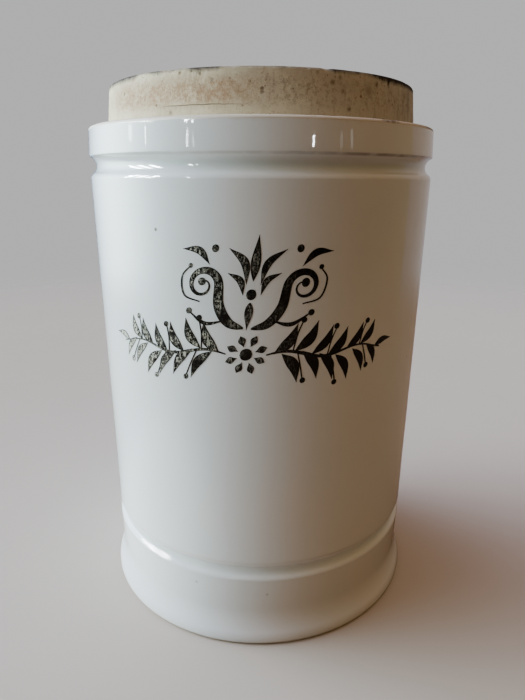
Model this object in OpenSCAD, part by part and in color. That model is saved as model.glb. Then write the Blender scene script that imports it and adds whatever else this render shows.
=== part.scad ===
// Apothecary standing jar: a hollow glazed porcelain jar with a lift-off unglazed lid.
// The origin is the centre of the foot, on the surface that the jar stands on, and +Z is up.

/* [Jar height] */
// Height of the jar, from its foot to the ledge that the lid rests on
jar_h = 143; // [130:1:170]

/* [Foot] */
// Diameter of the foot, where it is widest
foot_d = 102.4; // [101:0.2:110]
// Height of the foot's upright edge, below the flare
foot_edge_h = 2.5; // [1.5:0.5:4]
// Rounding of the foot's lower edge
foot_round = 0.8; // [0.4:0.1:1.4]
// Diameter of the waist, where the flare starts
waist_d = 98; // [96:0.2:100]
// Height at which the flare starts
waist_h = 10; // [7:0.5:14]
// Diameter of the band above the waist, below the lower groove
band_d = 98.9; // [97:0.1:101]
// Width of the unglazed ring that the jar stands on
foot_ring_w = 6; // [4:0.5:9]
// Depth of the recess under the floor
recess_h = 2; // [1:0.5:3]

/* [Body] */
// Diameter of the body just above the lower groove
body_low_d = 99.2; // [97:0.2:102]
// Diameter of the body just below the upper groove
body_high_d = 100.8; // [99:0.2:103]
// Thickness of the wall
wall = 5; // [4:0.5:7]
// Thickness of the floor above the recess
floor_t = 6; // [4:0.5:9]
// Rounding between the floor and the wall, inside
floor_round = 7; // [3:0.5:12]

/* [Grooves] */
// Height of the middle of the lower groove
lower_groove_z = 23.8; // [20:0.1:30]
// Radius of the lower groove's section
lower_groove_r = 2.2; // [1.6:0.1:2.6]
// Depth of the lower groove
lower_groove_depth = 1.5; // [0.8:0.1:2]
// Distance from the ledge down to the middle of the upper groove
upper_groove_drop = 10; // [8:0.1:14]
// Radius of the upper groove's section
upper_groove_r = 2.5; // [1.6:0.1:3]
// Depth of the upper groove
upper_groove_depth = 1.8; // [0.8:0.1:2.2]

/* [Lip] */
// Diameter of the lip ring at the ledge
lip_d = 100; // [98:0.2:104]
// Diameter of the lip ring just above the upper groove
lip_low_d = 100.4; // [98:0.2:104]
// Rounding of the lip's outer and inner edges
lip_round = 0.8; // [0.4:0.1:1.5]
// Diameter of the mouth
mouth_d = 82; // [76:1:86]
// Height of the straight part of the mouth
mouth_h = 13; // [12:0.5:16]
// Height over which the inside opens out below the mouth
shoulder_h = 6; // [4:0.5:10]

/* [Lid] */
// Diameter of the lid where it rests on the ledge
lid_d = 89.1; // [87:0.1:95]
// Diameter of the lid above its spread lower edge
lid_low_d = 88.6; // [86:0.1:94]
// Diameter of the lid at its top
lid_high_d = 86.5; // [84:0.1:92]
// Height of the lid above the ledge
lid_h = 10.6; // [8:0.2:16]
// Height of the lid's spread lower edge
lid_spread_h = 2; // [1:0.5:3]
// Rounding of the lid's top edge
lid_round = 1.1; // [0.5:0.1:2]
// Thickness of the lid's top
lid_top_t = 5; // [3.5:0.5:6]
// Gap all round between the lid's plug and the mouth
plug_gap = 0.6; // [0.4:0.1:1]
// Depth of the plug below the ledge
plug_h = 10; // [6:0.5:11]
// Thickness of the plug's wall
plug_wall = 5; // [3.5:0.5:7]
// Rounding of the plug's lower edges
plug_round = 1.2; // [0.5:0.1:1.6]
// Rounding of the lid's hollow, between its wall and its top
hollow_round = 3; // [1:0.5:4]

/* [Hidden] */

$fn = 120;
// Overshoot of a cutter past the face that it cuts
over = 1;

porcelain = [0.87, 0.88, 0.86];
biscuit = [0.80, 0.76, 0.69];

foot_r = foot_d / 2;
waist_r = waist_d / 2;
inner_r = body_low_d / 2 - wall;
mouth_r = mouth_d / 2;
ring_inner_r = foot_r - foot_ring_w;
floor_z = recess_h + floor_t;
mouth_z = jar_h - mouth_h;
upper_groove_z = jar_h - upper_groove_drop;
// The flare is an arc, upright at the waist, that ends on the foot's upright edge
flare_w = foot_r - waist_r;
flare_h = waist_h - foot_edge_h;
flare_r = (flare_w * flare_w + flare_h * flare_h) / (2 * flare_w);

lid_top_z = jar_h + lid_h;
plug_r = mouth_r - plug_gap;
hollow_r = plug_r - plug_wall;
hollow_z = lid_top_z - lid_top_t;
plug_z = jar_h - plug_h;

// Unit vector from point a to point b
function toward(a, b) = (b - a) / norm(b - a);

// The sliver between the corner p and an arc of radius r that touches both of the corner's
// edges, which run towards a and b. Taken away it rounds an outer corner, and added it
// fills an inner one. It reaches past the corner so that no film is left.
module corner(p, a, b, r) {
    u = toward(p, a);
    v = toward(p, b);
    half_angle = acos(u * v) / 2;
    inward = (u + v) / norm(u + v);
    centre = p + inward * r / sin(half_angle);
    reach = r / tan(half_angle);
    difference() {
        polygon([p + u * reach, centre, p + v * reach, p - inward * over]);
        translate(centre) circle(r);
    }
}

// Half-section of a round groove of radius r and the given depth, in a wall of radius wall_r
module groove(wall_r, z, r, depth) {
    translate([wall_r + r - depth, z]) circle(r);
}

// Outer half-section of the jar, filled to its axis
module jar_outline() {
    difference() {
        polygon([
            [0, 0],
            [foot_r, 0],
            [foot_r, waist_h],
            [band_d / 2, lower_groove_z],
            [body_low_d / 2, lower_groove_z],
            [body_high_d / 2, upper_groove_z],
            [lip_low_d / 2, upper_groove_z],
            [lip_d / 2, jar_h],
            [0, jar_h]
        ]);
        flare_cut();
        groove(band_d / 2, lower_groove_z, lower_groove_r, lower_groove_depth);
        groove(lip_low_d / 2, upper_groove_z, upper_groove_r, upper_groove_depth);
        corner([foot_r, 0], [0, 0], [foot_r, waist_h], foot_round);
        corner([lip_d / 2, jar_h], [0, jar_h], [lip_low_d / 2, upper_groove_z], lip_round);
    }
}

// What is cut away outside the waist: the concave flare and the space beside the band
module flare_cut() {
    intersection() {
        translate([waist_r + flare_r, waist_h]) circle(flare_r);
        translate([waist_r, 0]) square([flare_w + over, waist_h]);
    }
    polygon([
        [waist_r, waist_h],
        [band_d / 2, lower_groove_z],
        [foot_r + over, lower_groove_z],
        [foot_r + over, waist_h]
    ]);
}

// Half-section of the space inside the jar, out through the mouth
module jar_inside() {
    floor_corner = [inner_r, floor_z];
    shoulder = [inner_r, mouth_z - shoulder_h];
    difference() {
        union() {
            polygon([
                [0, floor_z],
                floor_corner,
                shoulder,
                [mouth_r, mouth_z],
                [mouth_r, jar_h + over],
                [0, jar_h + over]
            ]);
            corner([mouth_r, jar_h], [mouth_r, mouth_z], [lip_d / 2, jar_h], lip_round);
        }
        corner(floor_corner, [0, floor_z], shoulder, floor_round);
    }
}

// The glazed porcelain jar: foot, waist, body, lip ring and mouth, with a recessed base
module jar_body() {
    color(porcelain)
    rotate_extrude() {
        difference() {
            jar_outline();
            jar_inside();
            translate([0, -over]) square([ring_inner_r, recess_h + over]);
        }
    }
}

// Half-section of the lid's head and plug, filled to the axis
module lid_outline() {
    top_edge = [lid_high_d / 2, lid_top_z];
    low_edge = [lid_low_d / 2, jar_h + lid_spread_h];
    difference() {
        polygon([
            [0, plug_z],
            [plug_r, plug_z],
            [plug_r, jar_h],
            [lid_d / 2, jar_h],
            low_edge,
            top_edge,
            [0, lid_top_z]
        ]);
        corner(top_edge, [0, lid_top_z], low_edge, lid_round);
        corner([plug_r, plug_z], [0, plug_z], [plug_r, jar_h], plug_round);
    }
}

// Half-section of the hollow under the lid
module lid_hollow() {
    difference() {
        union() {
            translate([0, plug_z - over]) square([hollow_r, hollow_z - plug_z + over]);
            corner([hollow_r, plug_z], [plug_r, plug_z], [hollow_r, hollow_z], plug_round);
        }
        corner([hollow_r, hollow_z], [0, hollow_z], [hollow_r, plug_z], hollow_round);
    }
}

// The unglazed lid: a head that rests on the ledge, and a hollow plug that sits in the mouth
module lid() {
    color(biscuit)
    rotate_extrude() {
        difference() {
            lid_outline();
            lid_hollow();
        }
    }
}

jar_body();
lid();
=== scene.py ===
"""Looks of the apothecary jar: glazed porcelain body, unglazed lid and black enamel ornament."""

import math

import bpy
import numpy as np
from mathutils import Matrix, Vector


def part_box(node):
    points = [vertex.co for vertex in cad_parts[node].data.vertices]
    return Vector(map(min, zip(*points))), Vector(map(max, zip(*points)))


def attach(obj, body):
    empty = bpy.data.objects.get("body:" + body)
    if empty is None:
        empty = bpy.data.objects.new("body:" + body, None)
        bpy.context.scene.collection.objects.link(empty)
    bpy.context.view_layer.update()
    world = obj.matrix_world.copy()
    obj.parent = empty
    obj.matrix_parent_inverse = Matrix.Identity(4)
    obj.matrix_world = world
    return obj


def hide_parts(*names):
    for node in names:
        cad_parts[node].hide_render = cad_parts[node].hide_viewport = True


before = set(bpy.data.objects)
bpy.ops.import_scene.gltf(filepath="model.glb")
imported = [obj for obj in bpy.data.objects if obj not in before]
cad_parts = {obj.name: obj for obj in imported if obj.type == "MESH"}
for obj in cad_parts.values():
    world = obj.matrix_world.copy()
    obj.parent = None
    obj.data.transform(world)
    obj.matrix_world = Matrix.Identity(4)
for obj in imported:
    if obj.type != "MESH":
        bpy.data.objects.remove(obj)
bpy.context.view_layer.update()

MM = 0.001

# ---------------------------------------------------------------- sizes in mm: radii _R, heights _Z

(_, _, FOOT_Z), (_, _, LEDGE_Z) = [[v / MM for v in corner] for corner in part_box("jar_body")]
FOOT_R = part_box("jar_body")[1][0] / MM
(_, _, PLUG_Z), (LID_R, _, LID_TOP_Z) = [[v / MM for v in corner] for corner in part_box("lid")]

RING_INNER_R = FOOT_R - 6.0
RECESS_Z = 2.0
FOOT_EDGE_Z = 2.5
WAIST_R = FOOT_R - 2.2
WAIST_Z = 10.0
LOWER_GROOVE_Z = 23.8
BODY_LOW_R = FOOT_R - 1.6
BODY_LOW_Z = 26.0
BODY_HIGH_R = FOOT_R - 0.8
BODY_HIGH_Z = LEDGE_Z - 12.8
UPPER_GROOVE_Z = LEDGE_Z - 10.0
LIP_R = FOOT_R - 1.2
LIP_LOW_Z = LEDGE_Z - 7.75
MOUTH_R = 41.0
MOUTH_LOW_Z = LEDGE_Z - 13.0
SHOULDER_Z = LEDGE_Z - 19.0
INNER_R = BODY_LOW_R - 5.0
FLOOR_Z = 8.0

PLUG_R = MOUTH_R - 0.6
HOLLOW_R = PLUG_R - 5.0
HOLLOW_Z = LID_TOP_Z - 5.0
CRACK_Z = LEDGE_Z + 2.7

JAR_SPECKS = [                # angle in degrees, height, radius and strength of the specks in the glaze
    (-21.4, 17.8, 0.26, 0.3),
    (3.0, 16.3, 0.24, 0.28),
]
LID_SPOTS = [                 # the same for the brown spots on the lid
    (-40.0, LEDGE_Z + 9.6, 0.45, 0.8),
    (-28.3, LEDGE_Z + 1.3, 0.75, 0.6),
    (-14.4, LEDGE_Z + 7.9, 0.7, 0.6),
    (-9.0, LEDGE_Z + 8.0, 0.5, 0.6),
    (0.5, LEDGE_Z + 5.2, 0.7, 0.7),
    (17.0, LEDGE_Z + 9.6, 0.75, 0.45),
    (21.8, LEDGE_Z + 7.7, 0.95, 0.7),
    (24.5, LEDGE_Z + 8.9, 0.85, 0.6),
    (27.7, LEDGE_Z + 2.3, 0.85, 0.7),
    (25.5, LEDGE_Z + 6.0, 0.8, 0.6),
    (39.0, LEDGE_Z + 8.3, 1.0, 0.75),
    (35.5, LEDGE_Z + 6.6, 2.1, 0.45),
    (57.0, LEDGE_Z + 7.2, 1.5, 0.4),
]


# ---------------------------------------------------------------- outlines

ARC_POINTS = 24
OUTLINE_STEP = 0.08           # mm


def arc(centre_r, centre_z, radius, start, end):
    """Points (r, z, softness 0) along an arc, with its angles in degrees from +r towards +z."""
    angles = np.radians(np.linspace(start, end, ARC_POINTS))
    return [(centre_r + radius * math.cos(a), centre_z + radius * math.sin(a), 0.0) for a in angles]


def groove(wall_r, centre_z, radius, depth, soft_low, soft_high):
    """A round groove in a wall, from its lower edge to its upper edge, with each edge's softness."""
    centre_r = wall_r + radius - depth
    half = math.degrees(math.acos((radius - depth) / radius))
    points = arc(centre_r, centre_z, radius, 180 + half, 180 - half)
    points[0] = points[0][:2] + (soft_low,)
    points[-1] = points[-1][:2] + (soft_high,)
    return points


def soften(corners):
    """A dense outline through the corners, rounded at each one by about its own softness in mm."""
    corners = np.array(corners)
    lengths = np.hypot(np.diff(corners[:, 0]), np.diff(corners[:, 1]))
    stations = np.concatenate([[0], np.cumsum(lengths)])
    s = np.arange(0, stations[-1], OUTLINE_STEP)
    r = np.interp(s, stations, corners[:, 0])
    z = np.interp(s, stations, corners[:, 1])
    reach = np.zeros_like(s)
    for station, soft in zip(stations, corners[:, 2]):
        near = 1.5 * soft - np.abs(s - station)
        reach = np.maximum(reach, np.clip(near, 0, soft))
    for _ in range(2):
        r, z = window_mean(s, r, reach), window_mean(s, z, reach)
    return r, z


def window_mean(s, values, reach):
    """The mean of values over the stretch from s - reach to s + reach."""
    area = np.concatenate([[0], np.cumsum((values[1:] + values[:-1]) / 2 * np.diff(s))])
    low, high = np.maximum(s - reach, s[0]), np.minimum(s + reach, s[-1])
    mean = (np.interp(high, s, area) - np.interp(low, s, area)) / np.maximum(high - low, 1e-9)
    return np.where(reach > 1e-6, mean, values)


def thin_out(r, z, longest, sharpest):
    """Keeps points so that no edge is longer than longest mm or turns more than sharpest degrees.

    longest is one length, or one for each point.
    """
    heading = np.unwrap(np.arctan2(np.diff(z), np.diff(r)))
    turn = np.concatenate([[0], np.abs(np.diff(heading)), [0]])
    length = np.concatenate([[0], np.hypot(np.diff(r), np.diff(z))])
    cost = np.cumsum(length / longest + np.degrees(turn) / sharpest)
    wanted = np.linspace(0, cost[-1], int(cost[-1]) + 2)
    keep = np.unique(np.searchsorted(cost, wanted).clip(0, len(r) - 1))
    return r[keep], z[keep]


def jar_outline():
    """The jar's section, from the middle of the recess round the outside to the middle of the floor."""
    flare_w, flare_h = FOOT_R - WAIST_R, WAIST_Z - FOOT_EDGE_Z
    flare_r = (flare_w ** 2 + flare_h ** 2) / (2 * flare_w)
    flare_end = 180 + math.degrees(math.asin(flare_h / flare_r))
    corners = [
        (0, RECESS_Z, 0),
        (RING_INNER_R, RECESS_Z, 0.8),
        (RING_INNER_R, FOOT_Z, 0.6),
        (FOOT_R, FOOT_Z, 0.9),
    ]
    flare = arc(WAIST_R + flare_r, WAIST_Z, flare_r, flare_end, 180)
    flare[0] = flare[0][:2] + (1.2,)
    corners += flare
    corners += groove(BODY_LOW_R - 0.1, LOWER_GROOVE_Z, 2.2, 1.5, soft_low=0.6, soft_high=1.5)
    corners += groove(BODY_HIGH_R, UPPER_GROOVE_Z, 2.5, 1.8, soft_low=0.85, soft_high=0.22)
    corners += [
        (LIP_R, LEDGE_Z, 0.65),
        (MOUTH_R, LEDGE_Z, 0.7),
        (MOUTH_R, MOUTH_LOW_Z, 1.5),
        (INNER_R, SHOULDER_Z, 2.5),
        (INNER_R, FLOOR_Z, 5),
        (0, FLOOR_Z, 0),
    ]
    r, z = soften(corners)
    moulded = (r > MOUTH_R + 1) & ((z < BODY_LOW_Z + 4) | (z > BODY_HIGH_Z - 4))
    return thin_out(r, z, longest=np.where(moulded, 1.9, 7.0), sharpest=6)


def lid_outline():
    """The lid's section, from the middle of its hollow round the outside to the middle of its top."""
    corners = [
        (0, HOLLOW_Z, 0),
        (HOLLOW_R, HOLLOW_Z, 2),
        (HOLLOW_R, PLUG_Z, 0.9),
        (PLUG_R, PLUG_Z, 0.9),
        (PLUG_R, LEDGE_Z, 0.3),
        (LID_R - 0.05, LEDGE_Z, 0.25),
        (LID_R - 0.2, LEDGE_Z + 2.0, 1.2),
        (LID_R - 1.0, LID_TOP_Z, 0.6),
        (0, LID_TOP_Z, 0),
    ]
    r, z = soften(corners)
    pitted = (r > LID_R - 3.5) & (z > LEDGE_Z - 0.1)
    return thin_out(r, z, longest=np.where(pitted, 0.47, 2.3), sharpest=9)


# ---------------------------------------------------------------- meshes

JAR_SEGMENTS, LID_SEGMENTS = 320, 640
NOISE_ROWS = 512

OVAL, THREE_SIDED = 0.10, 0.05                # in mm, like the depths and sizes below
WOBBLE_START_Z, WOBBLE_FULL_Z = 5, 60
UPPER_POOL, LOWER_POOL = 1.8, 1.6             # how far a pool reaches from the middle of its groove

GRAIN_SEED, PIT_SEED, NIBBLE_SEED = 7, 8, 9
GRAIN_CELLS, PIT_CELLS, NIBBLE_CELLS = 320, 400, 90           # once round the lid
GRAIN_SIZE, PIT_SIZE = 0.9, 0.7                               # up the wall
PIT_LEVELS, NIBBLE_LEVELS = (0.86, 0.97), (0.55, 0.95)        # the noise where they start and are full
NIBBLE_ROW = 3.3                              # the nibbles take one row of their noise
GRAIN_DEPTH, PIT_DEPTH = 0.05, 0.14
NIBBLE_DEPTH, NIBBLE_SINK = 0.2, 0.1
CHIP_ANGLE, CHIP_WIDTH = 0.36, 0.018          # in radians
CHIP_DEPTH, CHIP_SINK = 0.05, 0.02


def lattice_noise(u, v, cells, seed):
    """Smooth noise from 0 to 1. u runs once round from 0 to 1 and wraps, v counts lattice rows."""
    rng = np.random.default_rng(seed)
    table = rng.random((NOISE_ROWS, cells))
    x = u * cells
    xi, yi = np.floor(x).astype(int), np.floor(v).astype(int)
    fx, fy = x - xi, v - yi
    fx, fy = fx * fx * (3 - 2 * fx), fy * fy * (3 - 2 * fy)
    row0, row1 = yi % NOISE_ROWS, (yi + 1) % NOISE_ROWS
    col0, col1 = xi % cells, (xi + 1) % cells
    low = table[row0, col0] * (1 - fx) + table[row0, col1] * fx
    high = table[row1, col0] * (1 - fx) + table[row1, col1] * fx
    return low * (1 - fy) + high * fy


def smooth_step(low, high, value):
    """0 at low, 1 at high, smooth between them and level past them. low may be the larger."""
    t = np.clip((value - low) / (high - low), 0, 1)
    return t * t * (3 - 2 * t)


def bump_at(value, centre, width):
    """A bell of height 1 around centre."""
    return np.exp(-((value - centre) / width) ** 2)


def body_wobble(theta, z):
    """How far the porcelain strays from round, in mm, at an angle and a height. The foot is true."""
    oval = OVAL * np.sin(2 * theta + 0.6)
    three_sided = THREE_SIDED * np.sin(3 * theta + 2.1 + z * 0.02)
    return (oval + three_sided) * smooth_step(WOBBLE_START_Z, WOBBLE_FULL_Z, z)


def place(name, data):
    """A new object for a mesh, camera or light, in the scene."""
    item = bpy.data.objects.new(name, data)
    bpy.context.scene.collection.objects.link(item)
    return item


def smooth_mesh(name, points, faces):
    """A smooth-shaded mesh."""
    mesh = bpy.data.meshes.new(name)
    mesh.from_pydata(points, [], faces)
    mesh.update()
    mesh.shade_smooth()
    return mesh


def revolve(name, r, z, segments, displace):
    """A closed mesh round the Z axis from an outline that starts and ends on it.

    Gives the object and the angle, radius and height of each of its points off the axis.
    """
    theta = np.arange(segments) * 2 * math.pi / segments
    grid_t, grid_r = np.meshgrid(theta, r[1:-1])
    grid_z = np.repeat(z[1:-1, None], segments, 1)
    grid_r, grid_z = displace(grid_t, grid_r, grid_z)
    points = np.stack([grid_r * np.sin(grid_t), -grid_r * np.cos(grid_t), grid_z], -1).reshape(-1, 3)
    first_pole, last_pole = len(points), len(points) + 1
    points = np.concatenate([points, [[0, 0, z[0]], [0, 0, z[-1]]]]) * MM
    last_ring = first_pole - segments
    pairs = [(j, (j + 1) % segments) for j in range(segments)]
    faces = []
    for ring in range(0, last_ring, segments):
        after = ring + segments
        faces += [(ring + j, ring + k, after + k, after + j) for j, k in pairs]
    faces += [(first_pole, k, j) for j, k in pairs]
    faces += [(last_pole, last_ring + j, last_ring + k) for j, k in pairs]
    piece = place(name, smooth_mesh(name, points.tolist(), faces))
    return piece, grid_t.ravel(), grid_r.ravel(), grid_z.ravel()


def paint(piece, name, values):
    """Stores one number per vertex for the material. Each point on the axis gets its neighbour's."""
    padded = np.concatenate([values, [values[0], values[-1]]]).astype(np.float32)
    piece.data.attributes.new(name, "FLOAT", "POINT").data.foreach_set("value", padded)


def make_jar():
    """The porcelain jar, with marks for its glaze pools and bare clay."""
    r, z = jar_outline()

    def displace(theta, radius, height):
        share = np.clip(radius / BODY_LOW_R, 0, 1)
        return radius + body_wobble(theta, height) * share, height

    piece, theta, radius, height = revolve("jar_porcelain", r, z, JAR_SEGMENTS, displace)
    outside = radius > MOUTH_R + 2
    upper_pool = bump_at(height, UPPER_GROOVE_Z, UPPER_POOL)
    lower_pool = bump_at(height, LOWER_GROOVE_Z - 0.2, LOWER_POOL)
    paint(piece, "pool", (upper_pool + lower_pool) * outside)
    ledge = smooth_step(LEDGE_Z - 1.3, LEDGE_Z - 0.3, height) * (radius > MOUTH_R)
    foot = smooth_step(1.0, 0.35, height) * (radius > RING_INNER_R - 1)
    paint(piece, "bare", np.maximum(ledge, foot))
    return piece


def make_lid():
    """The unglazed lid, with its pits, nibbled edge and chip as real shape."""
    r, z = lid_outline()

    def displace(theta, radius, height):
        u = theta / (2 * math.pi)
        side = smooth_step(LEDGE_Z, LEDGE_Z + 0.4, height) * (radius > PLUG_R)
        grain = lattice_noise(u, height / GRAIN_SIZE, GRAIN_CELLS, GRAIN_SEED) - 0.5
        pits = lattice_noise(u, (height + radius) / PIT_SIZE, PIT_CELLS, PIT_SEED)
        pits = smooth_step(*PIT_LEVELS, pits)
        edge = bump_at(height, LID_TOP_Z, 0.9) * (radius > LID_R - 3)
        nibble = lattice_noise(u, np.full_like(u, NIBBLE_ROW), NIBBLE_CELLS, NIBBLE_SEED)
        nibble = smooth_step(*NIBBLE_LEVELS, nibble)
        chip = bump_at(theta, CHIP_ANGLE, CHIP_WIDTH)
        dents = edge * (NIBBLE_DEPTH * nibble + CHIP_DEPTH * chip)
        inward = side * (GRAIN_DEPTH * grain + PIT_DEPTH * pits) + dents
        sink = edge * (NIBBLE_SINK * nibble + CHIP_SINK * chip)
        scale = np.clip(radius / (LID_R - 4), 0, 1)
        return radius - inward * scale, height - sink

    return revolve("lid_biscuit", r, z, LID_SEGMENTS, displace)[0]


# ---------------------------------------------------------------- shader helpers

def new_material(name):
    """A new material and its emptied node tree."""
    material = bpy.data.materials.new(name)
    material.use_nodes = True
    tree = material.node_tree
    tree.nodes.clear()
    return material, tree


def add(tree, kind, inputs=None, **settings):
    """A node with its settings and inputs. An input is a number, a tuple or another node's socket."""
    node = tree.nodes.new(kind)
    for key, value in settings.items():
        setattr(node, key, value)
    for key, value in (inputs or {}).items():
        socket = node.inputs[key]
        if isinstance(value, bpy.types.NodeSocket):
            tree.links.new(value, socket)
        else:
            socket.default_value = value
    return node


def calc(tree, operation, *values):
    """The result of a sum on numbers or sockets, taken two by two."""
    result = values[0]
    for value in values[1:] or [0.0]:
        result = add(tree, "ShaderNodeMath", {0: result, 1: value}, operation=operation).outputs[0]
    return result


def times(tree, *factors):
    """The product of numbers or sockets."""
    return calc(tree, "MULTIPLY", *factors)


def total(tree, *terms):
    """The sum of numbers or sockets."""
    return calc(tree, "ADD", *terms)


def minus(tree, a, b):
    """a less b."""
    return calc(tree, "SUBTRACT", a, b)


def most(tree, *values):
    """The largest of numbers or sockets."""
    return calc(tree, "MAXIMUM", *values)


def length_of(tree, a, b):
    """The length of the vector (a, b)."""
    return calc(tree, "SQRT", total(tree, times(tree, a, a), times(tree, b, b)))


def blend_colour(tree, factor, a, b):
    """Colour a where factor is 0 and b where it is 1."""
    return add(tree, "ShaderNodeMix", {0: factor, 6: a, 7: b}, data_type="RGBA").outputs[2]


def span(tree, value, low, high, out_low=0.0, out_high=1.0):
    """value taken smoothly from the range low..high to out_low..out_high."""
    node = add(tree, "ShaderNodeMapRange", {0: value, 1: low, 2: high, 3: out_low, 4: out_high},
               interpolation_type="SMOOTHSTEP")
    return node.outputs[0]


def place_mm(tree, stretch=(1, 1, 1), shift=(0, 0, 0)):
    """The point on the object in mm, with each axis multiplied by stretch and then shifted."""
    where = add(tree, "ShaderNodeTexCoord").outputs["Object"]
    inputs = {"Vector": where, "Scale": tuple(s / MM for s in stretch), "Location": shift}
    return add(tree, "ShaderNodeMapping", inputs).outputs[0]


def noise(tree, where, size_mm, detail=4.0, rough=0.55):
    """Cloudy noise with features of about size_mm."""
    inputs = {"Vector": where, "Scale": 1 / size_mm, "Detail": detail, "Roughness": rough}
    return add(tree, "ShaderNodeTexNoise", inputs).outputs["Fac"]


def spots(tree, where, size_mm, radius, share):
    """1 inside scattered round spots.

    A share of the cells of size_mm have one each, with a radius of 0.3 to 1.3 times radius, in cells.
    """
    cells = add(tree, "ShaderNodeTexVoronoi", {"Vector": where, "Scale": 1 / size_mm})
    pick, size, _ = add(tree, "ShaderNodeSeparateColor", {0: cells.outputs["Color"]}).outputs
    used = calc(tree, "LESS_THAN", pick, share)
    reach = total(tree, times(tree, size, radius), radius * 0.3)
    inside = calc(tree, "DIVIDE", cells.outputs["Distance"], reach)
    return times(tree, span(tree, inside, 1.0, 0.55), used)


def around(tree, where):
    """The angle round the jar in degrees, 0 at the front and positive to the right, height and radius."""
    x, y, z = add(tree, "ShaderNodeSeparateXYZ", {0: where}).outputs
    turn = calc(tree, "ARCTAN2", x, times(tree, y, -1.0))
    return times(tree, turn, 180 / math.pi), z, length_of(tree, x, y)


def sector(tree, angle, start, full, until, end):
    """A share that rises from start to full degrees and falls again from until to end."""
    return times(tree, span(tree, angle, start, full), span(tree, angle, end, until))


BLOB_CORE, BLOB_EDGE, BLOB_RAGGED = 1.3, 2.1, 2.4      # shares of a blob's radius


def blob(tree, angle, height, ragged, at_angle, at_height, radius, strength):
    """A ragged spot of a given strength at an angle and a height on the outside wall."""
    across = times(tree, minus(tree, angle, at_angle), math.radians(LID_R))
    up = minus(tree, height, at_height)
    away = total(tree, length_of(tree, across, up), times(tree, ragged, radius * BLOB_RAGGED))
    return span(tree, away, radius * BLOB_EDGE, radius * BLOB_CORE, 0.0, strength)


def mark(tree, name):
    """A number that the mesh has stored for each of its points."""
    return add(tree, "ShaderNodeAttribute", attribute_name=name).outputs["Fac"]


def surface(tree, inputs, heights=None):
    """A principled surface, with an optional bump from pairs of height socket and size in mm."""
    normal = None
    for height, size in heights or []:
        links = {"Height": height, "Distance": size * MM, "Strength": 1.0}
        if normal is not None:
            links["Normal"] = normal
        normal = add(tree, "ShaderNodeBump", links).outputs[0]
    if normal is not None:
        inputs = {**inputs, "Normal": normal}
    shader = add(tree, "ShaderNodeBsdfPrincipled", inputs)
    add(tree, "ShaderNodeOutputMaterial", {"Surface": shader.outputs[0]})


# ---------------------------------------------------------------- the glazed porcelain

COOL_WHITE, WARM_WHITE = (0.80, 0.825, 0.82, 1), (0.83, 0.825, 0.80, 1)
POOLED_GLAZE = (0.72, 0.765, 0.75, 1)
PINHOLE = (0.16, 0.13, 0.10, 1)
PALE_CLAY, DARK_CLAY = (0.74, 0.67, 0.54, 1), (0.62, 0.54, 0.41, 1)
# the colour of the dirt, and of the painted shade under the lip's overhang
DIRT_AND_SHADE = (0.13, 0.085, 0.05, 1)


def jar_dirt_and_shade(tree, where, angle, height, radius, outer):
    """Dirt on the ledge round the lid and along the rim at the right, and under the lip a dark line of
    dirt and painted shade.
    """
    on_top = span(tree, height, LEDGE_Z - 0.9, LEDGE_Z - 0.35)
    near_lid = span(tree, calc(tree, "ABSOLUTE", minus(tree, radius, LID_R)), 1.6, 0.0)
    joint = times(tree, on_top, near_lid, span(tree, noise(tree, where, 5, detail=6), 0.25, 0.75), 0.6)
    short_mark = times(tree, sector(tree, angle, 33, 36, 39, 42), 0.8)
    rim_share = most(tree, sector(tree, angle, 50, 66, 110, 150), short_mark)
    near_rim = span(tree, radius, LIP_R - 1.5, LIP_R - 0.6)
    patches = span(tree, noise(tree, where, 1.5, detail=5), 0.3, 0.5)
    rim = times(tree, on_top, rim_share, near_rim, patches)
    # under the lip: a dark line, partly dirt and partly painted shade of the overhang, heavier at the
    # right and in dashes
    under_lip = span(tree, calc(tree, "ABSOLUTE", minus(tree, height, LIP_LOW_Z)), 0.5, 0.1)
    line_share = total(tree, times(tree, sector(tree, angle, -20, 45, 110, 170), 0.5), 0.2)
    dashes = span(tree, noise(tree, where, 5), 0.3, 0.6, 0.5, 1.0)
    return most(tree, joint, rim, times(tree, under_lip, line_share, dashes, outer))


def glaze_material():
    """White porcelain under a clear gloss glaze, with pinholes, pools in the grooves and bare edges."""
    material, tree = new_material("porcelain_glaze")
    where = place_mm(tree)
    angle, height, radius = around(tree, where)
    outer = span(tree, radius, MOUTH_R + 4, MOUTH_R + 5)

    cloud = span(tree, noise(tree, where, 28, detail=3), 0.35, 0.7)
    white = blend_colour(tree, cloud, COOL_WHITE, WARM_WHITE)
    pooled = blend_colour(tree, mark(tree, "pool"), white, POOLED_GLAZE)
    pinholes = spots(tree, where, 14, 0.035, 0.32)
    fine_holes = spots(tree, place_mm(tree, shift=(31, 7, 11)), 6, 0.03, 0.12)
    dots = most(tree, pinholes, times(tree, fine_holes, 0.6))
    for speck in JAR_SPECKS:
        dots = most(tree, dots, times(tree, blob(tree, angle, height, 0.0, *speck), outer))
    speckled = blend_colour(tree, dots, pooled, PINHOLE)

    ragged = total(tree, mark(tree, "bare"), times(tree, noise(tree, where, 2.2), 0.5))
    bare = span(tree, ragged, 0.55, 0.95)
    clay = blend_colour(tree, noise(tree, where, 3), PALE_CLAY, DARK_CLAY)
    clean = blend_colour(tree, bare, speckled, clay)
    # dirt, and the painted shade under the lip
    colour = blend_colour(tree, jar_dirt_and_shade(tree, where, angle, height, radius, outer), clean, DIRT_AND_SHADE)

    gloss = span(tree, noise(tree, where, 9), 0.3, 0.7, 0.022, 0.045)
    rough = add(tree, "ShaderNodeMix", {0: bare, 2: gloss, 3: 0.6}).outputs[0]
    ripple = noise(tree, where, 7, detail=1)
    skin = noise(tree, where, 1.6, detail=1)
    surface(tree, {"Base Color": colour, "Roughness": rough, "IOR": 1.5},
            [(ripple, 0.022), (skin, 0.002), (minus(tree, 1.0, dots), 0.04)])
    return material


# ---------------------------------------------------------------- the unglazed clay

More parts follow.
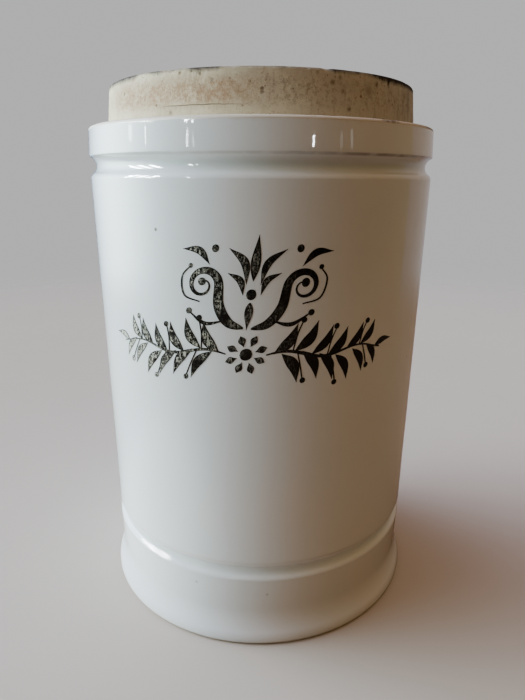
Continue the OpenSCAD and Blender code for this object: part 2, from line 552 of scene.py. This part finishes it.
CREAM, OLD_CREAM = (0.76, 0.655, 0.435, 1), (0.63, 0.52, 0.34, 1)
TAN = (0.575, 0.55, 0.465, 1)
PINK_STAIN, BROWN_STAIN = (0.46, 0.285, 0.155, 1), (0.27, 0.18, 0.11, 1)
AGED_CLAY = (0.46, 0.36, 0.24, 1)
STREAK, FLECK, SPOT = (0.29, 0.20, 0.12, 1), (0.30, 0.18, 0.10, 1), (0.17, 0.095, 0.045, 1)
CRACK = (0.13, 0.10, 0.06, 1)
SOOT = (0.030, 0.020, 0.013, 1)


def stained_clay(tree, angle, height, wall, cloud, blotch, crumb, streak):
    """Cream clay with tan, pink and brown stains on the wall and clouds on the top face and the back."""
    cream = blend_colour(tree, span(tree, cloud, 0.36, 0.66), CREAM, OLD_CREAM)
    tan = times(tree, sector(tree, angle, -25, 55, 115, 175), wall, 0.9)
    colour = blend_colour(tree, tan, cream, TAN)

    over_ledge = span(tree, height, LEDGE_Z + 1.2, LEDGE_Z + 4.4)
    under_top = span(tree, height, LID_TOP_Z - 0.8, LID_TOP_Z - 3.8)
    band = times(tree, over_ledge, under_top)
    weave = noise(tree, place_mm(tree, stretch=(1, 1, 0.4)), 0.4, detail=3, rough=0.8)
    weave = span(tree, weave, 0.35, 0.6, 0.45, 1.15)
    pink_side = sector(tree, angle, -68, -48, -14, 8)
    pink = times(tree, band, pink_side, wall, span(tree, blotch, 0.28, 0.58), weave, 0.9)
    colour = blend_colour(tree, pink, colour, PINK_STAIN)
    brown_side = sector(tree, angle, -12, 8, 60, 100)
    brown = times(tree, band, brown_side, wall, span(tree, crumb, 0.47, 0.66), 0.6)
    colour = blend_colour(tree, brown, colour, BROWN_STAIN)

    behind = span(tree, calc(tree, "ABSOLUTE", angle), 85, 140)
    back = times(tree, behind, span(tree, blotch, 0.3, 0.7), wall)
    mottle = span(tree, total(tree, times(tree, cloud, 0.5), times(tree, blotch, 0.5)), 0.42, 0.6)
    top = times(tree, minus(tree, 1.0, wall), mottle, 0.75)
    colour = blend_colour(tree, most(tree, back, top), colour, AGED_CLAY)

    drip_share = total(tree, sector(tree, angle, -20, 70, 100, 160), 0.35)
    colour = blend_colour(tree, times(tree, streak, wall, drip_share, 0.5), colour, STREAK)
    grain = span(tree, noise(tree, place_mm(tree), 0.5, detail=4, rough=0.8), 0.54, 0.66)
    fleck_share = total(tree, times(tree, band, 0.4), 0.6)
    fleck = times(tree, grain, span(tree, blotch, 0.35, 0.6, 0.2, 0.9), fleck_share)
    return blend_colour(tree, fleck, colour, FLECK)


def clay_spots(tree, where, angle, height, crumb):
    """Scattered brown specks, and the larger spots where LID_SPOTS puts them."""
    large = times(tree, spots(tree, where, 2.3, 0.19, 0.3), 0.75)
    small = times(tree, spots(tree, place_mm(tree, shift=(17, 5, 3)), 1.0, 0.2, 0.22), 0.6)
    dots = most(tree, large, small)
    for spot in LID_SPOTS:
        dots = most(tree, dots, blob(tree, angle, height, crumb, *spot))
    return dots


def crack_line(tree, angle, height, wall):
    """One fine crack that runs along the wall, left of the front."""
    sway = minus(tree, noise(tree, place_mm(tree, stretch=(1, 1, 0)), 3.5), 0.5)
    off = calc(tree, "ABSOLUTE", minus(tree, minus(tree, height, CRACK_Z), times(tree, sway, 0.35)))
    return times(tree, span(tree, off, 0.12, 0.03), sector(tree, angle, -32, -27, -16, 0), wall)


def black_edge(tree, angle, height, radius, crumb, streak):
    """Soot along the top edge: heavy at the right, thin at the left, in dashes and patches between."""
    down = minus(tree, LID_TOP_Z, height)
    inward = most(tree, minus(tree, LID_R - 1.2, radius), 0.0)
    from_edge = length_of(tree, down, inward)
    heavy = times(tree, sector(tree, angle, 30, 46, 80, 120), 2.3)
    light = times(tree, sector(tree, angle, -120, -80, -46, -41), 1.5)
    dashes = times(tree, sector(tree, angle, -23, -21, -13, -11), 1.1)
    patches = times(tree, span(tree, noise(tree, place_mm(tree), 7, detail=2), 0.48, 0.66), 0.9)
    thick = most(tree, heavy, light, dashes, patches)
    ragged = times(tree, total(tree, crumb, times(tree, streak, 0.5)), thick)
    return span(tree, minus(tree, ragged, from_edge), -0.9, 0.55)


def biscuit_material():
    """Unglazed fired clay: cream with stains and spots, a crack, and soot on its top edge."""
    material, tree = new_material("lid_biscuit")
    where = place_mm(tree)
    angle, height, radius = around(tree, where)
    wall = span(tree, radius, LID_R - 5, LID_R - 2.2)
    flat = place_mm(tree, stretch=(1, 1, 1.7))
    upright = place_mm(tree, stretch=(1, 1, 0.14))
    cloud = noise(tree, flat, 10, detail=6, rough=0.6)
    blotch = noise(tree, flat, 2.4, detail=9, rough=0.72)
    crumb = noise(tree, where, 1.1, detail=6, rough=0.72)
    streak = span(tree, noise(tree, upright, 0.9, detail=4, rough=0.7), 0.52, 0.74)

    colour = stained_clay(tree, angle, height, wall, cloud, blotch, crumb, streak)
    dots = clay_spots(tree, where, angle, height, crumb)
    colour = blend_colour(tree, dots, colour, SPOT)
    crack = crack_line(tree, angle, height, wall)
    colour = blend_colour(tree, times(tree, crack, 0.8), colour, CRACK)
    runs = span(tree, noise(tree, upright, 1.8, detail=6), 0.40, 0.70)
    soot = times(tree, sector(tree, angle, 46, 56, 84, 105), wall, runs, 0.38)
    edge = black_edge(tree, angle, height, radius, crumb, streak)
    colour = blend_colour(tree, most(tree, edge, soot), colour, SOOT)

    rough = span(tree, crumb, 0.3, 0.7, 0.72, 0.92)
    grain = noise(tree, where, 0.32, detail=4, rough=0.6)
    holes, gap = minus(tree, 1.0, dots), minus(tree, 1.0, crack)
    surface(tree, {"Base Color": colour, "Roughness": rough, "IOR": 1.2},
            [(crumb, 0.16), (grain, 0.04), (holes, 0.08), (gap, 0.15)])
    return material


# ---------------------------------------------------------------- the black enamel

INK, WARM_INK = (0.004, 0.004, 0.004, 1), (0.012, 0.010, 0.008, 1)
THIN_INK = (0.075, 0.065, 0.04, 1)
WORN_INK = (0.60, 0.58, 0.47, 1)
SCRATCH_SLANT = math.radians(28)


def enamel_material():
    """Black fired enamel. On the left its thick strokes are worn through to the white in flecks."""
    material, tree = new_material("black_enamel")
    where = place_mm(tree)
    slant = {"Vector": where, "Rotation": (0, SCRATCH_SLANT, 0), "Scale": (1, 1, 0.22)}
    hatch = add(tree, "ShaderNodeMapping", slant).outputs[0]
    scratches = span(tree, noise(tree, hatch, 0.42, detail=3, rough=0.7), 0.54, 0.62)
    across = add(tree, "ShaderNodeSeparateXYZ", {0: where}).outputs[0]
    left = span(tree, across, 17.0, -26.0)
    far_left = span(tree, across, -22.0, -36.0)
    wear = total(tree, noise(tree, where, 0.62, detail=6, rough=0.75), times(tree, far_left, 0.09))
    flecks = span(tree, wear, 0.53, 0.61)
    patches = most(tree, span(tree, noise(tree, where, 5, detail=2), 0.36, 0.56), far_left)
    inside = span(tree, mark(tree, "core"), 0.05, 0.45)
    worn = times(tree, most(tree, scratches, flecks), inside, patches, left)

    ink = blend_colour(tree, noise(tree, where, 3), INK, WARM_INK)
    thin = times(tree, span(tree, noise(tree, where, 1.3, detail=4), 0.5, 0.7), left, 0.6)
    film = blend_colour(tree, thin, ink, THIN_INK)
    colour = blend_colour(tree, worn, film, WORN_INK)
    rough = span(tree, noise(tree, where, 1.2), 0.35, 0.7, 0.16, 0.32)
    relief = noise(tree, where, 0.8, detail=4, rough=0.6)
    surface(tree, {"Base Color": colour, "Roughness": rough, "IOR": 1.27},
            [(relief, 0.012), (minus(tree, 1.0, worn), 0.015)])
    return material


# ---------------------------------------------------------------- ornament

ORNAMENT_LEAN = math.tan(math.radians(8))
ENAMEL_EDGE, ENAMEL_CROWN, ENAMEL_ROOT = 0.014, 0.03, -0.15      # mm above the glaze
ENAMEL_SHARP = math.radians(40)
WEAR_WIDTH = 1.6                      # mm: a narrower stroke wears less
HAIRLINE = 0.36                       # mm
PEN_WEIGHT = 0.75                     # the share of its full swell that a stroke gets
SPIRAL_END = 0.22                     # the share of its radius at which a spiral ends
HAND_SEED = 11
HAND_SHIFT, HAND_SWELL = 0.16, 0.08   # mm, and a share of the width


def curve(points, count=48):
    """A smooth line (u, z) through the points, by a Catmull-Rom spline."""
    pts = np.array(points, float)
    pts = np.concatenate([[2 * pts[0] - pts[1]], pts, [2 * pts[-1] - pts[-2]]])
    out = []
    spans = len(pts) - 3
    for i in range(spans):
        t = np.linspace(0, 1, max(count // spans, 4), endpoint=(i == spans - 1))[:, None]
        a, b, c, d = pts[i:i + 4]
        out.append(0.5 * (2 * b + (c - a) * t + (2 * a - 5 * b + 4 * c - d) * t ** 2
                          + (3 * b - a - 3 * c + d) * t ** 3))
    return np.concatenate(out)


def swell(line, thick, peak=0.5, sharp=1.0, thin=HAIRLINE):
    """A stroke along a line that swells from thin to thick, widest at the share peak of its length."""
    t = np.linspace(0, 1, len(line))
    power = math.log(0.5) / math.log(peak)
    return line, thin + PEN_WEIGHT * (thick - thin) * np.sin(math.pi * t ** power) ** (2 * sharp)


def spiral(centre, radius, start, turns):
    """A line that winds in from radius to SPIRAL_END of it. Positive turns go anticlockwise."""
    t = np.linspace(0, 1, 80)
    angle = math.radians(start) + t * turns * 2 * math.pi
    reach = radius * (1 - (1 - SPIRAL_END) * t ** 1.1)
    return np.stack([centre[0] + reach * np.cos(angle), centre[1] + reach * np.sin(angle)], -1)


def leaf(root, tip, width, bend, peak):
    """A pointed leaf from root to tip, bent to one side by a share of its length, widest at peak."""
    root, tip = np.array(root, float), np.array(tip, float)
    side = np.array([root[1] - tip[1], tip[0] - root[0]])
    line = curve([root, (root + tip) / 2 + side * bend, tip], 30)
    return swell(line, width, peak, 0.65, 0.12)


def ball(centre, radius):
    """A dot, as a short stroke as wide as it is long."""
    t = np.linspace(-1, 1, 15)
    line = np.stack([centre[0] + t * radius, centre[1] + t * radius * 0.15], -1)
    return line, 0.04 + 2 * radius * np.sqrt(np.clip(1 - t ** 2, 0, 1))


def tendril(points, thick, berry=0.8):
    """A hairline with a berry at its end."""
    return [swell(curve(points), thick), ball(points[-1], berry)]


LEAF_OUT, LEAF_UP, LEAF_WIDTH = 4.9, 7.6, 3.5         # mm along and across a branch
STEM_WAVE, STEM_WAVES = 0.9, 0.32                     # mm, and radians for each mm


def garland(middle, end, height, pairs):
    """A leafy branch from the middle of the row to one end: pairs of leaves, and berries on hairlines."""
    way = 1 if end > middle else -1
    u = np.linspace(middle, end, 80)
    stem = np.stack([u, height + STEM_WAVE * np.sin((u - middle) * way * STEM_WAVES)], -1)
    strokes = [swell(stem, 1.0, 0.3)]
    for i in range(pairs):
        share = i / pairs
        root_u, root_z = stem[int((0.05 + 0.86 * share) * (len(stem) - 1))]
        size = 1.0 - 0.32 * share ** 2
        for up in (-1, 1):
            start = root_u + way * (0.6 if up > 0 else 2.6)
            tip = (start + way * LEAF_OUT * size, root_z + up * LEAF_UP * size)
            strokes.append(leaf((start, root_z), tip, LEAF_WIDTH * size, -0.13 * up * way, 0.46))
            if i % 2 == 1:
                foot = ((root_u + start) / 2, root_z)
                knee = (start + way * 0.2, root_z + up * 4.4 * size)
                berry = (start + way * 1.2, root_z + up * 7.9 * size)
                strokes += tendril([foot, knee, berry], 0.4, 0.72)
    tip = stem[-1]
    strokes.append(leaf(stem[-6], (tip[0] + way * 4.2, tip[1] + 1.6), 2.2, 0.1 * way, 0.4))
    return strokes


def rosette(u, z, size, petals):
    """A ring of petals round a ball."""
    strokes = [ball((u, z), size * 0.30)]
    for i in range(petals):
        angle = 2 * math.pi * (i + 0.5) / petals
        out = size * np.array([math.cos(angle), math.sin(angle)])
        strokes.append(leaf(out * 0.42 + (u, z), out + (u, z), size * 0.44, 0.0, 0.58))
    return strokes


def upper_device(u, z):
    """The upper device: two scrolls that rise from a pendant and curl outwards, with leaves between."""
    strokes = [
        leaf((u, z + 1.8), (u, z + 12.6), 3.0, 0.0, 0.42),
        leaf((u, z - 3.2), (u, z - 9.9), 2.5, 0.0, 0.36),
        ball((u, z - 1.3), 1.2),
    ]
    for side in (-1, 1):

        def at(across, up):
            return u + side * across, z + up

        stem = curve([at(1.0, -9.7), at(4.9, -8.3), at(7.6, -4.4), at(8.2, 0.6)])
        curl = spiral(at(12.2, 0.6), 4.0, 90 + side * 90, -side * 1.3)
        strokes += [swell(np.concatenate([stem[:-1], curl]), 3.4, 0.22), ball(curl[-1], 1.0)]
        strokes.append(leaf(at(1.7, 1.0), at(6.8, 9.4), 2.6, 0.18 * side, 0.5))
        strokes.append(leaf(at(2.2, -1.6), at(6.4, 3.6), 2.0, 0.20 * side, 0.5))
        strokes += tendril([at(12.4, -3.6), at(16.6, -2.2), at(17.6, 2.2), at(15.6, 5.0)], 0.6, 0.6)
        strokes.append(leaf(at(11.0, 5.4), at(18.2, 8.8), 2.5, 0.20 * side, 0.5))
        strokes += tendril([at(5.6, -7.8), at(10.6, -8.8), at(15.2, -6.0)], 1.3)
        strokes.append(ball(at(10.0, 9.4), 0.85))
    return strokes


def lower_row(u, z):
    """The lower device: two leafy branches from a rosette."""
    right, left = garland(u + 5.0, u + 37.5, z, 6), garland(u - 5.0, u - 37.5, z, 6)
    return right + left + rosette(u, z, 5.2, 8)


def lay_on_jar(name, strokes, pivot_z):
    """One mesh of closed enamel strokes that follow the jar's wall, each a little uneven."""
    hand = np.random.default_rng(HAND_SEED)
    verts, faces, core = [], [], []
    across = np.array([-1.0, -0.62, 0.0, 0.62, 1.0, 1.0, -1.0])
    lift = ENAMEL_EDGE + (ENAMEL_CROWN - ENAMEL_EDGE) * (1 - across ** 2)
    lift[-2:] = ENAMEL_ROOT
    ring = len(across)
    for line, widths in strokes:
        line = line + hand.uniform(-HAND_SHIFT, HAND_SHIFT, 2)
        widths = widths * hand.uniform(1 - HAND_SWELL, 1 + HAND_SWELL)
        d = np.gradient(line, axis=0)
        d /= np.linalg.norm(d, axis=1)[:, None] + 1e-9
        normal = np.stack([-d[:, 1], d[:, 0]], -1)
        base, count = len(verts), len(line)
        for i in range(count):
            for k in range(ring):
                u, z = line[i] + normal[i] * across[k] * widths[i] / 2
                verts.append(on_wall(u + (z - pivot_z) * ORNAMENT_LEAN, z, lift[k]))
                core.append((1 - abs(across[k])) * min(widths[i] / WEAR_WIDTH, 1.0))
        for i in range(count - 1):
            a, b = base + i * ring, base + (i + 1) * ring
            faces += [(a + k, b + k, b + (k + 1) % ring, a + (k + 1) % ring) for k in range(ring)]
        faces.append(tuple(base + k for k in range(ring)))
        faces.append(tuple(base + (count - 1) * ring + k for k in reversed(range(ring))))
    mesh = smooth_mesh(name, verts, faces)
    mesh.set_sharp_from_angle(angle=ENAMEL_SHARP)
    mesh.attributes.new("core", "FLOAT", "POINT").data.foreach_set("value", np.array(core, np.float32))
    return place(name, mesh)


def on_wall(u, z, lift):
    """The point u mm round from the front, measured at the lip's radius, and z mm up the jar's wall.

    It stands lift mm off the wall.
    """
    t = (z - BODY_LOW_Z) / (BODY_HIGH_Z - BODY_LOW_Z)
    radius = BODY_LOW_R + (BODY_HIGH_R - BODY_LOW_R) * t
    theta = u / LIP_R
    radius += float(body_wobble(np.float64(theta), np.float64(z))) + lift
    return (radius * math.sin(theta) * MM, -radius * math.cos(theta) * MM, z * MM)


# ---------------------------------------------------------------- stage

CAMERA_AT = (0.8, -176.1, 129.6)      # mm
CAMERA_PITCH = 17.48                  # degrees below level
CAMERA_ROLL = 0.344                   # degrees
CAMERA_LENS = 27.87                   # mm


def add_camera():
    """The camera where the photo was taken from, in front of the jar and looking slightly down."""
    data = bpy.data.cameras.new("camera")
    data.lens = CAMERA_LENS
    data.sensor_width = 36.0
    data.clip_start = 0.005
    camera = place("camera", data)
    camera.matrix_world = (Matrix.Translation(Vector(CAMERA_AT) * MM)
                           @ Matrix.Rotation(math.radians(90 - CAMERA_PITCH), 4, "X")
                           @ Matrix.Rotation(math.radians(CAMERA_ROLL), 4, "Z"))
    bpy.context.scene.camera = camera


def towards(azimuth, elevation):
    """The direction at an azimuth, 0 in front and positive to the right, and an elevation, in degrees."""
    a, e = math.radians(azimuth), math.radians(elevation)
    return Vector((math.sin(a) * math.cos(e), -math.cos(a) * math.cos(e), math.sin(e)))


PANE_CENTRE = Vector((0, 0, 0.14))    # the panes stand round this point, in metres
PANE_DISTANCE = 1.2                   # metres
PANE_GLOW = 210.0
PANES = [                     # azimuth, lowest and highest elevation, width in degrees, share of the glow
    (-95.0, 11.5, 33, 4.4, 1.0),
    (-85.0, 11, 33, 4.6, 1.0),
    (-74.5, 11, 31, 4.6, 1.0),
    (-86.7, 7.2, 9.3, 3.0, 0.11),
    (-74.1, 7.3, 9.4, 0.8, 0.35),
    (-45.5, 11.5, 19, 2.0, 0.8),
    (-41.0, 11.5, 17, 1.2, 0.4),
    (-44.5, 7.4, 9.6, 1.2, 0.22),
    (-40.5, 7.2, 9.4, 1.0, 0.05),
    (31.0, 8.1, 9.1, 0.9, 0.6),
    (48.5, 7.2, 9.2, 1.6, 0.006),
    (55.5, 7.2, 9.2, 1.6, 0.008),
]
DAYLIGHT = (0.90, 0.97, 1.0)


def add_lights():
    """The panes of the windows, which only make the glints: the room gives the light on the jar."""
    for i, (azimuth, low, high, width, share) in enumerate(PANES):
        away = towards(azimuth, (low + high) / 2)
        wide = 2 * PANE_DISTANCE * math.tan(math.radians(width / 2))
        tall = 2 * PANE_DISTANCE * math.tan(math.radians((high - low) / 2))
        data = bpy.data.lights.new(f"pane_{i}", "AREA")
        data.shape = "RECTANGLE"
        data.size, data.size_y = wide, tall
        data.energy = PANE_GLOW * share * math.pi * wide * tall
        data.color = DAYLIGHT
        light = place(f"pane_{i}", data)
        light.location = PANE_CENTRE + away * PANE_DISTANCE
        light.rotation_euler = away.to_track_quat("Z", "Y").to_euler()
        light.visible_camera = False
        light.visible_diffuse = False


ROOM = [                      # azimuth, elevation, narrowness and colour of each glow
    (-100, 8, 10, (16.2, 20.3, 21.0)),
    (-107, 42, 10, (2.6, 3.0, 5.6)),
    (140, 5, 3, (0.46, 0.38, 0.21)),
    (35, 42, 10, (0.20, 0.16, 0.06)),
    (0, 90, 2, (0.68, 0.42, 0.20)),
]
WALL_AZIMUTH = 111                    # the far wall is behind the jar, past this azimuth on both sides
WALL_SOFTNESS = 0.02
WALL, BLACK = (0.05, 0.08, 0.24, 1), (0, 0, 0, 1)
BACKDROP = (0.56, 0.56, 0.56, 1)


def vector_sum(tree, operation, a, b):
    """The vector result of a sum on two vectors."""
    return add(tree, "ShaderNodeVectorMath", {0: a, 1: b}, operation=operation).outputs[0]


def add_world():
    """Plain grey to the eye, and a room to the light: a bright cool side, a brown side and a far wall."""
    world = bpy.data.worlds.new("room")
    world.use_nodes = True
    tree = world.node_tree
    tree.nodes.clear()
    where = add(tree, "ShaderNodeTexCoord").outputs["Generated"]
    level = vector_sum(tree, "MULTIPLY", where, (1, 1, 0))
    level = add(tree, "ShaderNodeVectorMath", {0: level}, operation="NORMALIZE").outputs[0]
    back = add(tree, "ShaderNodeSeparateXYZ", {0: level}).outputs[1]
    edge = -math.cos(math.radians(WALL_AZIMUTH))
    is_wall = span(tree, back, edge - WALL_SOFTNESS, edge + WALL_SOFTNESS)
    room = blend_colour(tree, is_wall, BLACK, WALL)
    for azimuth, elevation, narrow, colour in ROOM:
        facing = add(tree, "ShaderNodeVectorMath", {0: where, 1: tuple(towards(azimuth, elevation))},
                     operation="DOT_PRODUCT").outputs["Value"]
        glow = calc(tree, "POWER", most(tree, facing, 0.0), narrow)
        lit = add(tree, "ShaderNodeVectorMath", {0: colour, 3: glow}, operation="SCALE").outputs[0]
        room = vector_sum(tree, "ADD", room, lit)
    seen = add(tree, "ShaderNodeLightPath").outputs["Is Camera Ray"]
    shown = blend_colour(tree, seen, room, BACKDROP)
    sky = add(tree, "ShaderNodeBackground", {"Color": shown, "Strength": 1.0})
    add(tree, "ShaderNodeOutputWorld", {"Surface": sky.outputs[0]})
    bpy.context.scene.world = world


FLOOR_FADE = (350, 750)               # mm from the jar's axis: whole as far as here, gone from here
FLOOR_DROP = 0.1                      # mm below the jar's foot
FLOOR_SIDES = 96
PALE_FLOOR, PALER_FLOOR = (0.50, 0.445, 0.375, 1), (0.54, 0.48, 0.405, 1)
TABLE = (0.20, 0.125, 0.075, 1)
SHEEN = (2.0, 2.2, 2.25, 1)
SHEEN_AT = (-108, -52, 0)             # mm
SHEEN_FADE = (40, 100)                # mm from its middle


def floor_material():
    """Pale to the camera. To all other rays it is a dark table with a sheen at the left."""
    material, tree = new_material("floor")
    where = place_mm(tree)
    seen = add(tree, "ShaderNodeLightPath").outputs["Is Camera Ray"]
    pale = blend_colour(tree, noise(tree, where, 60), PALE_FLOOR, PALER_FLOOR)
    tone = blend_colour(tree, seen, TABLE, pale)
    matt = add(tree, "ShaderNodeBsdfDiffuse", {"Color": tone}).outputs[0]
    off = add(tree, "ShaderNodeVectorMath", {0: where, 1: SHEEN_AT}, operation="DISTANCE")
    sheen = span(tree, off.outputs["Value"], SHEEN_FADE[1], SHEEN_FADE[0])
    glow = times(tree, sheen, minus(tree, 1.0, seen))
    shine = add(tree, "ShaderNodeEmission", {"Color": SHEEN, "Strength": glow}).outputs[0]
    table = add(tree, "ShaderNodeAddShader", {0: matt, 1: shine}).outputs[0]
    away = add(tree, "ShaderNodeVectorMath", {0: where}, operation="LENGTH")
    faded = span(tree, away.outputs["Value"], *FLOOR_FADE)
    clear = add(tree, "ShaderNodeBsdfTransparent").outputs[0]
    mixed = add(tree, "ShaderNodeMixShader", {0: faded, 1: table, 2: clear})
    add(tree, "ShaderNodeOutputMaterial", {"Surface": mixed.outputs[0]})
    return material


def add_floor():
    """A plain pale floor that melts into the backdrop."""
    corners = [2 * math.pi * i / FLOOR_SIDES for i in range(FLOOR_SIDES)]
    reach, level = FLOOR_FADE[1] * MM, (FOOT_Z - FLOOR_DROP) * MM
    ring = [(reach * math.cos(a), reach * math.sin(a), level) for a in corners]
    mesh = bpy.data.meshes.new("floor")
    mesh.from_pydata(ring, [], [tuple(range(FLOOR_SIDES))])
    mesh.materials.append(floor_material())
    floor = place("floor", mesh)


# ---------------------------------------------------------------- the whole

def build():
    """The stage, then each piece with its material and body."""
    add_camera()
    add_world()
    add_lights()
    add_floor()
    jar = make_jar()
    jar.data.materials.append(glaze_material())
    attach(jar, "jar")
    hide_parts("jar_body")
    lid = make_lid()
    lid.data.materials.append(biscuit_material())
    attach(lid, "lid")
    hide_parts("lid")
    enamel = enamel_material()
    rows = [
        ("ornament_upper", upper_device, -1.6, 105.0),
        ("ornament_lower", lower_row, -3.2, 88.6),
    ]
    for name, draw, middle, height in rows:
        piece = lay_on_jar(name, draw(middle, height), height)
        piece.data.materials.append(enamel)
        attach(piece, "jar")


build()
